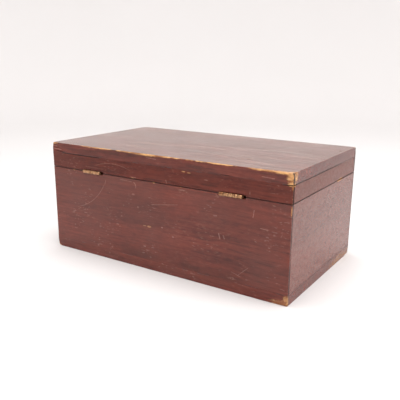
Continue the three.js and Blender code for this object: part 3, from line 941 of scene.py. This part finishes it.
def bottom_bare_marks(s):
    """The rubbed corners of the bottom board's left end."""
    return marks(s, spots=[
        ((LEFT, -58, 1), (7, 46, 11), 0.4, 0.3),
        ((LEFT, -BACK, 2), (7, 16, 9), 0.6, 0.3),
        ((LEFT + 5, BACK, 0), (16, 5, 6), 0.9, 0.8),
        ((LEFT + 1, BACK, 6), (4, 4, 9), 0.9, 0.7),
    ])


# ---- the box
OVERSHOOT = 1 * MM  # how far a cutter reaches past what it cuts
MORTISE_REACH = 9.4 * MM  # from a hinge's pin to the far edge of its recess
LID_CRACKS = [  # both ends in mm, the width and the depth
    ((149, BACK, 116.5), (129.5, BACK, 115.5), 0.9, 2.4),
    ((149, BACK, 120), (135.5, BACK, 119), 0.8, 2.0),
    ((149, BACK, 122.5), (139.5, BACK, 122), 0.6, 1.4),
    ((-75.5, BACK, 115.5), (-90.5, BACK, 115.5), 0.7, 1.6),
]


def hinge_pin(label):
    """The middle of a hinge's pin."""
    return Vector((middle_of(f"hinge_{label}_case_leaf").x, HALF_DEPTH + STAND_OFF, SEAM))


def mortise_cutters(side):
    """The recesses of both hinges in a back board, below the seam (side -1) or above it (side 1)."""
    made = []
    for label in ("right", "left"):
        pin = hinge_pin(label)
        start, end = pin.x - HINGE_HALF - 3 * MM, pin.x + HINGE_HALF + 0.4 * MM
        low, high = sorted((SEAM - 0.4 * MM * side, SEAM + 1.5 * MM * side))
        made.append(box_object("mortise", (start, pin.y - MORTISE_REACH, low), (end, pin.y + 2 * MM, high)))
        made.append(cylinder_object("groove", 2.3 * MM, start, end, (0, pin.y, SEAM), "X", 40))
    return made


def rabbet_cutters(node):
    """What the rabbets take off the inside of a front or back board at both ends."""
    low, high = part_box(node)
    outward = 1 if high.y > 0 else -1
    y = sorted((outward * (HALF_DEPTH - LIP), outward * (HALF_DEPTH - BOARD - OVERSHOOT)))
    shoulder = HALF_LENGTH - BOARD - 0.3 * MM
    made = []
    for side in (-1, 1):
        x = sorted((side * shoulder, side * (HALF_LENGTH + OVERSHOOT)))
        made.append(box_object("rabbet", (x[0], y[0], low.z - OVERSHOOT), (x[1], y[1], high.z + OVERSHOOT)))
    return made


def punch_cutters(name, surface):
    """The punched holes over the heads of the nails whose names hold the given one."""
    made = []
    for nail in nodes_with(name):
        middle = middle_of(nail)
        at = (middle.x, middle.y, surface)
        made.append(cylinder_object("punch", 1.4 * MM, -1.2 * MM, 1.2 * MM, at, "Z", 20))
    return made


def crack_cutter(start, end, wide, deep):
    """A split in the wood: a thin wedge between two points in mm on the back face, open outwards."""
    start, end = Vector(start) * MM, Vector(end) * MM
    side = Vector((0, 0, wide / 2 * MM))
    inward = Vector((0, -deep * MM, 0))
    outward = Vector((0, 0.5 * MM, 0))
    stations = [(start, 0.2, 0.4), ((start + end) / 2, 1, 1), (end, 0.2, 0.4)]
    vertices = [at + inward * depth for at, depth, width in stations]
    vertices += [at + outward - side * width for at, depth, width in stations]
    vertices += [at + outward + side * width for at, depth, width in stations]
    faces = [(0, 1, 4, 3), (1, 2, 5, 4), (1, 0, 6, 7), (2, 1, 7, 8)]
    faces += [(3, 4, 7, 6), (4, 5, 8, 7), (0, 3, 6), (2, 8, 5)]
    wedge = new_object("crack", mesh_of("crack", vertices, faces))
    recalculate(wedge.data)
    return wedge


def board_cutters(node):
    """Everything that is cut out of an outside board."""
    made = []
    if "back" in node or "front" in node:
        made += rabbet_cutters(node)
    if "back" in node:
        made += mortise_cutters(1 if node.startswith("lid") else -1)
    if node == "bottom_board":
        made += punch_cutters("bottom_nail_", 0)
    if node == "lid_top_board":
        made += punch_cutters("lid_nail_left_front", HEIGHT)
        made += [crack_cutter(*crack) for crack in LID_CRACKS]
    return made


def stained_board(node, axis, look_seed, shape_seed, fit, **look):
    """An outside board, its grain along an axis. fit is how far it reaches past its box."""
    wood = stained_wood(f"stained_{node}", axis, look_seed, **look)
    body = "lid" if node.startswith("lid") else "case"
    make_board(f"worn_{node}", node, body, wood, shape_seed, cutters=board_cutters(node), **fit)


def make_case_boards():
    walls = {"below": GLUE_GAP, "above": SEAM_CLOSING}
    stained_board("bottom_board", "X", 20, 31, {}, bare_marks=bottom_bare_marks, tone=0.95)
    stained_board("back_board", "X", 11, 32, walls, pale_marks=back_scratches, bare_marks=back_bare_marks,
                  dark_marks=back_dark_marks)
    stained_board("front_board", "X", 13, 33, walls)
    walls_left = {**walls, "shrunk": 0.5 * MM}
    stained_board("left_end_board", "Y", 15, 34, walls_left, dark_marks=end_dark_marks, wear=0.22)
    stained_board("right_end_board", "Y", 16, 35, walls)


def make_lid_boards():
    rails = {"below": SEAM_CLOSING, "above": GLUE_GAP}
    stained_board("lid_top_board", "X", 19, 36, {}, pale_marks=top_pale_marks, bare_marks=top_bare_marks,
                  dark_marks=top_dark_marks, wear=0.7, dust=0.16)
    stained_board("lid_back_rail", "X", 12, 37, rails, pale_marks=lid_rail_scratches,
                  bare_marks=lid_rail_bare_marks, tone=0.82, gloss=0.3)
    stained_board("lid_front_rail", "X", 14, 38, rails, tone=0.85)
    rails_left = {**rails, "shrunk": 1.2 * MM}
    stained_board("lid_left_rail", "Y", 17, 39, rails_left, tone=0.85, wear=0.35, gloss=0.2)
    stained_board("lid_right_rail", "Y", 18, 40, rails)


# ---- nails, screws and hinges
PIN_RADIUS = 0.75 * MM
KNUCKLE_RADIUS = 1.9 * MM
KNUCKLE_BORE = 0.85 * MM
SCREW_HEAD = 2.2 * MM
CATCH_HEAD = 2.6 * MM
SHANK = 1.1 * MM  # the radius of every screw's shank
LEAF_FACE = 0.3 * MM  # from the middle of the seam to a leaf's inner face
LEAF_BACK = 1.2 * MM
LEAF_REACH = 9 * MM  # from the pin to a leaf's far edge
SCREW_ALONG = 7 * MM  # from the middle of a leaf to its screws
SCREW_IN = 5.5 * MM  # from the pin to the screws
KNUCKLE_GAP = 0.14 * MM  # half the gap between two knuckles


def make_nails(steel):
    """Panel pins with slightly domed heads. The lid's point down and the bottom's point up."""
    for node in nodes_with("_nail_"):
        low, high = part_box(node)
        middle = middle_of(node)
        head, top = 1.1 * MM, high.z - low.z
        profile = [(0, 0), (0.65 * MM, 2 * MM), (0.7 * MM, top - 0.9 * MM), (0.85 * MM, top - 0.6 * MM)]
        profile += [(head, top - 0.3 * MM), (head, top - 0.18 * MM), (head * 0.75, top - 0.04 * MM), (0, top)]
        down = node.startswith("lid")
        at = (middle.x, middle.y, low.z if down else high.z)
        nail = lathe_object(f"pin_{node}", profile, at, "Z" if down else "-Z", 20)
        finish_piece(nail, "lid" if down else "case", "steel_nail", steel, node)


def slot_cutter(at, reach, wide, bottom, top, turn, axis):
    """The cutter of a screw's slot, for a screw that points along an axis."""
    cutter = box_object("slot", (-reach, -wide / 2, bottom), (reach, wide / 2, top))
    cutter.data.transform(Matrix.Translation(at) @ TURNS[axis] @ Matrix.Rotation(turn, 4, "Z"))
    return cutter


def dirty_and_shaded_recesses(piece, share_of):
    """Stores how much dirt and painted shade darken each point of a metal piece, from a function of the points.
    """
    points = np.array([v.co for v in piece.data.vertices])
    point_values(piece.data, "grime_and_shade", np.clip(share_of(points), 0, 1))


def make_leaf_screw(node, body, brass, turn):
    """A countersunk slotted screw with a threaded shank."""
    low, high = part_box(node)
    middle = middle_of(node)
    down = body == "case"
    axis = "Z" if down else "-Z"
    at = Vector((middle.x, middle.y, high.z if down else low.z))
    length, root, head = high.z - low.z, 0.8 * MM, SCREW_HEAD
    profile = [(0, -length), (0.4 * MM, 0.7 * MM - length)]
    for i in range(6):
        start = 1.2 * MM - length + i * 0.9 * MM
        profile += [(root, start), (SHANK, start + 0.45 * MM)]
    profile += [(root, -2.1 * MM), (SHANK, -1.8 * MM), (SHANK, SHANK - head), (head - 0.08 * MM, -0.14 * MM)]
    profile += [(head, -0.06 * MM), (head - 0.06 * MM, 0), (0, 0)]
    screw = lathe_object(f"turned_{node}", profile, at, axis, 32)
    cut(screw, [slot_cutter(at, 3 * MM, 0.5 * MM, -0.5 * MM, OVERSHOOT, turn, axis)])
    # Dirt and painted shade below the head's face, in the slot.
    dirty_and_shaded_recesses(screw, lambda points: smoothstep(np.abs(points[:, 2] - at.z), 0.05 * MM, 0.3 * MM))
    finish_piece(screw, body, "brass", brass, node)


def barrel(start, end, at):
    """One knuckle of a hinge: a rolled tube with rounded rims."""
    inner, outer, rim = KNUCKLE_BORE, KNUCKLE_RADIUS, 0.34 * MM
    profile = [(inner, start + 0.1 * MM), (inner + 0.1 * MM, start), (outer - rim, start)]
    profile += [(outer - rim * 0.3, start + rim * 0.3), (outer, start + rim)]
    return lathe_object("barrel", closed(mirrored(profile, start + end)), at, "X", 40)


def join(piece, others):
    """Adds other objects' meshes to the piece."""
    work = bmesh.new()
    for each in (piece, *others):
        work.from_mesh(each.data)
    work.to_mesh(piece.data)
    work.free()
    for other in others:
        bpy.data.objects.remove(other)


def make_leaf(label, body, brass):
    """A hinge leaf: a countersunk plate with three knuckles on the case's side or two on the lid's."""
    node = f"hinge_{label}_{body}_leaf"
    side = -1 if body == "case" else 1
    pin = hinge_pin(label)
    low, high = sorted((SEAM + LEAF_FACE * side, SEAM + LEAF_BACK * side))
    start, end = pin.x - HINGE_HALF, pin.x + HINGE_HALF
    plate = box_object(f"worn_{node}", (start, pin.y - LEAF_REACH, low), (end, pin.y, high))
    pitch = 2 * HINGE_HALF / KNUCKLES
    cutters, barrels = [], []
    for i in range(KNUCKLES):
        start = i * pitch - HINGE_HALF + KNUCKLE_GAP
        end = (i + 1) * pitch - HINGE_HALF - KNUCKLE_GAP
        if (i % 2 == 0) == (body == "case"):
            barrels.append((start, end))
        else:
            cutters.append(cylinder_object("gap", 2.2 * MM, start - 0.2 * MM, end + 0.2 * MM, pin, "X", 40))
    for along in (-SCREW_ALONG, SCREW_ALONG):
        at = Vector((pin.x + along, pin.y - SCREW_IN, SEAM + LEAF_FACE * side))
        cone = [(0, -2 * MM), (1.3 * MM, -2 * MM), (1.4 * MM, -0.9 * MM), (2.5 * MM, 0.2 * MM), (0, 0.2 * MM)]
        cutters.append(lathe_object("countersink", cone, at, "Z" if side < 0 else "-Z", 32))
    cut(plate, cutters)
    bevel(plate, 0.12 * MM)
    join(plate, [barrel(start, end, pin) for start, end in barrels])

    # Painted shade, with some dirt, in the gaps between the knuckles.
    def between_knuckles(points):
        from_pin = np.hypot(points[:, 1] - pin.y, points[:, 2] - pin.z)
        return 0.6 * smoothstep(from_pin, 1.88 * MM, 1.72 * MM) * (from_pin < 3 * MM)

    dirty_and_shaded_recesses(plate, between_knuckles)
    finish_piece(plate, body, "brass", brass, node)


def make_hinge(label, brass, turns):
    """A hinge: its pin, its four screws and its two leaves."""
    node = f"hinge_{label}_pin"
    low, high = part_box(node)
    half = (high.x - low.x) / 2
    profile = [(0, -half), (PIN_RADIUS * 0.7, 0.05 * MM - half), (PIN_RADIUS, 0.25 * MM - half)]
    rod = lathe_object(f"peened_{node}", mirrored(profile, 0), hinge_pin(label), "X", 24)
    finish_piece(rod, "case", "brass", brass, node)
    for body in ("case", "lid"):
        for place in ("left", "right"):
            make_leaf_screw(f"hinge_{label}_{body}_screw_{place}", body, brass, next(turns))
    for body in ("case", "lid"):
        make_leaf(label, body, brass)


# ---- swing hook
def make_catch_screw(node, body, brass, turn):
    """A round-headed screw with a slot, its head towards the front."""
    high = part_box(node)[1]
    middle = middle_of(node)
    at = Vector((middle.x, -HALF_DEPTH, middle.z))
    neck, head, base, dome = SHANK, CATCH_HEAD, 2.6 * MM, 1.2 * MM
    top = base + 0.3 * MM + dome
    inside = -(high.y + HALF_DEPTH)
    profile = [(0, inside), (neck, inside + 2 * MM), (neck, base - 0.1 * MM), (neck + 0.1 * MM, base)]
    profile += [(head - 0.15 * MM, base), (head, base + 0.12 * MM)]
    profile += [(head * across, top - dome + dome * up) for across, up in quarter_turn(8)[:-1]]
    profile.append((0, top))
    screw = lathe_object(f"domed_{node}", profile, at, "-Y", 40)
    cut(screw, [slot_cutter(at, 4 * MM, 0.6 * MM, top - 0.7 * MM, top + OVERSHOOT, turn, "-Y")])
    bevel(screw, 0.05 * MM, 2, 40)

    # Dirt and painted shade in the slot.
    def in_slot(points):
        off_axis = np.hypot(points[:, 0] - at.x, points[:, 2] - at.z)
        fall = dome * (1 - np.sqrt(np.clip(1 - (off_axis / head) ** 2, 0, 1)))
        return smoothstep(points[:, 1] + HALF_DEPTH + top - fall, 0.1 * MM, 0.4 * MM)

    dirty_and_shaded_recesses(screw, in_slot)
    finish_piece(screw, body, "brass", brass, node)


def make_hook(brass):
    """A flat swing hook: an eye, a waisted arm, a notched head and a thumb tab."""
    low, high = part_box("catch_hook")
    pivot = middle_of("catch_pivot_screw").z
    back, front = high.y, low.y
    reach, waist, wide = 22 * MM, 1.6 * MM, 2.3 * MM  # from the pivot to the notch, and half the arm's widths
    eye, eye_hole, head, notch_half, thumb_tab = 3.8 * MM, 1.25 * MM, 4.2 * MM, 1.6 * MM, 1.8 * MM

    def disc(radius, x, z, extra=0.0):
        return cylinder_object("disc", radius, -back - extra, -front + extra, (x, 0, pivot + z), "-Y", 56)

    side = []
    for i in range(25):
        share = i / 24
        side.append((waist + (wide - waist) * (2 * share - 1) ** 2, pivot - reach * share))
    outline = side + [(-half, z) for half, z in reversed(side)]
    hook = prism_object("worn_catch_hook", [[(x, y, z) for x, z in outline] for y in (front, back)])
    tab = disc(thumb_tab, 4.8 * MM, -reach - 2.4 * MM)
    cut(hook, [disc(eye, 0, 0), disc(head, 0, -reach), tab], "UNION")
    notch = box_object("notch", (-6 * MM, front - OVERSHOOT, pivot - reach - notch_half),
                       (0, back + OVERSHOOT, pivot - reach + notch_half))
    cut(hook, [disc(eye_hole, 0, 0, OVERSHOOT), disc(notch_half, 0, -reach, OVERSHOOT), notch])
    bevel(hook, 0.2 * MM, 3)
    finish_piece(hook, "hook", "brass", brass, "catch_hook")


def make_washer(brass):
    low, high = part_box("catch_washer")
    inner, outer, rim = 1.4 * MM, (high.x - low.x) / 2, 0.2 * MM
    profile = [(inner, rim), (inner + rim, 0), (outer - rim, 0), (outer, rim)]
    at = (0, high.y, middle_of("catch_washer").z)
    ring = lathe_object("worn_catch_washer", closed(mirrored(profile, high.y - low.y)), at, "-Y", 48)
    finish_piece(ring, "case", "brass", brass, "catch_washer")


# ---- pen tray
DIVIDERS = [f"tray_divider_{i}" for i in range(1, 10)]


def slat_slots(node):
    """The slots in a tray wall for the ends of the dividers."""
    low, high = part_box(node)
    inner = high.y if high.y < 0 else low.y
    y = sorted((inner * 0.9, inner + math.copysign(2 * MM, inner)))
    made = []
    for slat_low, slat_high in map(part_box, DIVIDERS):
        start = (slat_low.x - 0.3 * MM, y[0], low.z - OVERSHOOT)
        made.append(box_object("dado", start, (slat_high.x + 0.3 * MM, y[1], high.z + OVERSHOOT)))
    return made


def make_tray():
    """The tray's boards and the ledges that it rests on. Returns its floor."""
    long_wood = plain_wood("tray_wood_long", "X", 41)
    cross_wood = plain_wood("tray_wood_cross", "Y", 42)

    def board(node, wood, seed, cutters=(), top=0.0, body="pen_tray"):
        def radius_of(points, seed):
            return eased_radius(points, seed, top)

        return make_board(f"sanded_{node}", node, body, wood, seed, radius_of, 5 * MM, cutters=cutters,
                          slot="plain_wood")

    floor = board("tray_floor", long_wood, 51)
    board("tray_front_wall", long_wood, 52, slat_slots("tray_front_wall"), 0.8)
    board("tray_back_wall", long_wood, 53, slat_slots("tray_back_wall"), 0.8)
    for i, label in enumerate(("left", "right")):
        board(f"tray_{label}_wall", cross_wood, 54 + i, top=0.8)
        board(f"tray_ledge_{label}", cross_wood, 56 + i, body="case")
    for i, node in enumerate(DIVIDERS):
        board(node, cross_wood, 61 + i, top=0.6)
    return floor


def make_liner(floor):
    """Felt laid on the tray's floor, pressed a little by the pens in each lane."""
    low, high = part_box("tray_liner")
    lines = [np.linspace(a, b, round((b - a) / (2.2 * MM)) + 1) for a, b in zip(low[:2], high[:2])]
    points, faces = grid_box([*lines, np.array([low.z, high.z])], whole=True)
    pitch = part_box(DIVIDERS[1])[0].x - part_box(DIVIDERS[0])[0].x
    upper = points[:, 2] > low.z + 0.1 * MM
    in_lane = np.cos(points[:, 0] / pitch * 2 * math.pi + math.pi) * 0.5 + 0.5
    lumps = lattice_noise(points, 9 * MM, 71) * 0.1 + lattice_noise(points, 3 * MM, 72) * 0.06
    points[:, 2] -= np.where(upper, (lumps + 0.12 * in_lane) * MM, 0)
    liner = new_object("felt_tray_liner", mesh_of("liner", points, faces))
    bevel(liner, 0.3 * MM, 2, 60)
    finish_piece(liner, "pen_tray", "felt", green_felt("green_felt"), "tray_liner", sharp_degrees=50)


def tab_outline(low, high, inset):
    """A strap's outline as (y, z) points: square at the foot and rounded at the top."""
    left, right, foot, top = low.y + inset, high.y - inset, low.z + inset, high.z - inset
    bend = 5 * MM - inset
    points = [(left, foot), (right, foot)]
    for centre, start in ((right - bend, 0.0), (left + bend, math.pi / 2)):
        points += [(centre + bend * across, top - bend + bend * up) for across, up in quarter_turn(8, start)]
    return points


def spaced_along(path, spacing):
    """Points a spacing apart along a path of (y, z) points, each with the path's direction there."""
    found = []
    left_over = spacing / 2
    for (y0, z0), (y1, z1) in zip(path, path[1:]):
        length = math.hypot(y1 - y0, z1 - z0)
        while left_over < length:
            share = left_over / length
            found.append(((y0 + (y1 - y0) * share, z0 + (z1 - z0) * share), math.atan2(z1 - z0, y1 - y0)))
            left_over += spacing
        left_over -= length
    return found


def make_stitches(name, path, x, thread):
    """A row of stitches that stand out on both sides of a strap, along a path of (y, z) points."""
    work = bmesh.new()
    size = Matrix.Diagonal((0.58 * MM, 1.05 * MM, 0.26 * MM, 1))
    for at, direction in spaced_along(path, 2.9 * MM):
        place = Matrix.Translation((x, *at)) @ Matrix.Rotation(direction, 4, "X")
        bmesh.ops.create_icosphere(work, subdivisions=2, radius=1, matrix=place @ size)
    mesh = bpy.data.meshes.new(name)
    work.to_mesh(mesh)
    work.free()
    finish_piece(new_object(name, mesh), "pen_tray", "leather", thread, sharp_degrees=60)


def make_pull_tab(label, leather, thread):
    """A stitched leather strap at an end of the tray."""
    node = f"tray_pull_tab_{label}"
    low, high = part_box(node)
    sides = (low.x + 0.1 * MM, high.x - 0.1 * MM)
    tab = prism_object(f"leather_{node}", [[(x, y, z) for y, z in tab_outline(low, high, 0)] for x in sides])
    bevel(tab, 0.3 * MM, 3)
    finish_piece(tab, "pen_tray", "leather", leather, node, sharp_degrees=40)
    first, *others = tab_outline(low, high, 1.8 * MM)
    make_stitches(f"stitches_{node}", [*others, first], middle_of(node).x, thread)


# ---- camera, lights and stage
def add_camera():
    """A camera above a table's height, seeing the case from behind and from its left end."""
    azimuth, elevation, roll = math.radians(213.19), math.radians(15.06), math.radians(0.39)
    target = Vector((0.004, -0.0033, 0.0589))
    distance = 0.6288
    camera = new_object("camera", bpy.data.cameras.new("camera"))
    camera.data.sensor_width = 36
    camera.data.lens = 48.15
    camera.data.clip_start = 0.01
    turned = Matrix.Rotation(azimuth, 4, "Z") @ Matrix.Rotation(math.pi / 2 - elevation, 4, "X")
    turned = turned @ Matrix.Rotation(roll, 4, "Z")
    camera.matrix_world = Matrix.Translation(target) @ turned @ Matrix.Translation((0, 0, distance))
    bpy.context.scene.camera = camera


def add_area(name, at, towards, size, power):
    light = bpy.data.lights.new(name, "AREA")
    light.shape = "DISK"
    light.size = size
    light.energy = power
    lamp = new_object(name, light)
    lamp.location = at
    lamp.rotation_euler = (Vector(towards) - Vector(at)).to_track_quat("-Z", "Y").to_euler()


def add_stage():
    """A round pale sweep: a flat floor that curves up into a wall all round, with a ring of painted shade."""
    flat, bend, wall = 1.25, 0.9, 2.6
    profile = [(0, 0), (flat * 0.5, 0), (flat, 0)]
    profile += [(flat + bend * out, bend * (1 - down)) for down, out in quarter_turn(12)[1:]]
    profile.append((flat + bend, wall))
    sweep = lathe_object("sweep", profile, (0, 0, 0), sides=96)
    sweep.data.shade_smooth()
    s = Shader("sweep_paper")
    clouds = s.noise(2, 0, 2)
    from_middle = s.length(s.vector("MULTIPLY", s.place, (1, 1, 0)))
    # Painted shade: a darker ring on the floor and the foot of the curve, where less light falls.
    dull = s.times(s.band(from_middle, 0.3, 0.6), s.band(from_middle, 1.0, 1.7, 1.0, 0.0))
    colour = s.mix(clouds, PAPER, PAPER_LIGHT)
    colour = s.mix(dull, colour, PAPER_SHADED)
    sweep.data.materials.append(s.set(colour, 0.9, clouds, 0.01, 0.1))


def add_lights():
    """Three soft lamps in a pale room."""
    add_area("overhead", (-0.04, 0.08, 1.5), (0, 0, 0), 1.2, 13.3)
    add_area("left_end", (-1.2, -0.2, 0.7), (0, 0, 0.06), 0.9, 5.8)
    add_area("behind_camera", (-0.5, 1.5, 0.9), (0, 0, 0.06), 0.9, 2.2)
    world = bpy.data.worlds.new("pale_room")
    bpy.context.scene.world = world
    world.use_nodes = True
    room = world.node_tree.nodes["Background"].inputs
    room["Color"].default_value = (1.0, 0.985, 0.975, 1)
    room["Strength"].default_value = 1.18
    bpy.context.scene.view_settings.view_transform = "Standard"


add_camera()
add_stage()
add_lights()
make_case_boards()
make_lid_boards()
bright_brass = aged_brass("rubbed_brass", 5, 0.35)
dull_brass = aged_brass("dull_brass", 6, 0.6)
slot_turns = iter([0.3, 1.9, 2.7, 0.9, 1.2, 0.1, 2.2, 1.5])  # how far each leaf screw's slot is turned
make_nails(dark_steel("dark_steel"))
make_hinge("right", bright_brass, slot_turns)
make_hinge("left", aged_brass("browned_brass", 7, 0.62), slot_turns)
make_catch_screw("catch_pivot_screw", "case", dull_brass, 0.5)
make_catch_screw("catch_keeper_screw", "lid", dull_brass, 1.4)
make_hook(dull_brass)
make_washer(dull_brass)
make_liner(make_tray())
tab_leather, tab_thread = brown_leather("brown_leather"), waxed_thread("waxed_thread")
make_pull_tab("left", tab_leather, tab_thread)
make_pull_tab("right", tab_leather, tab_thread)
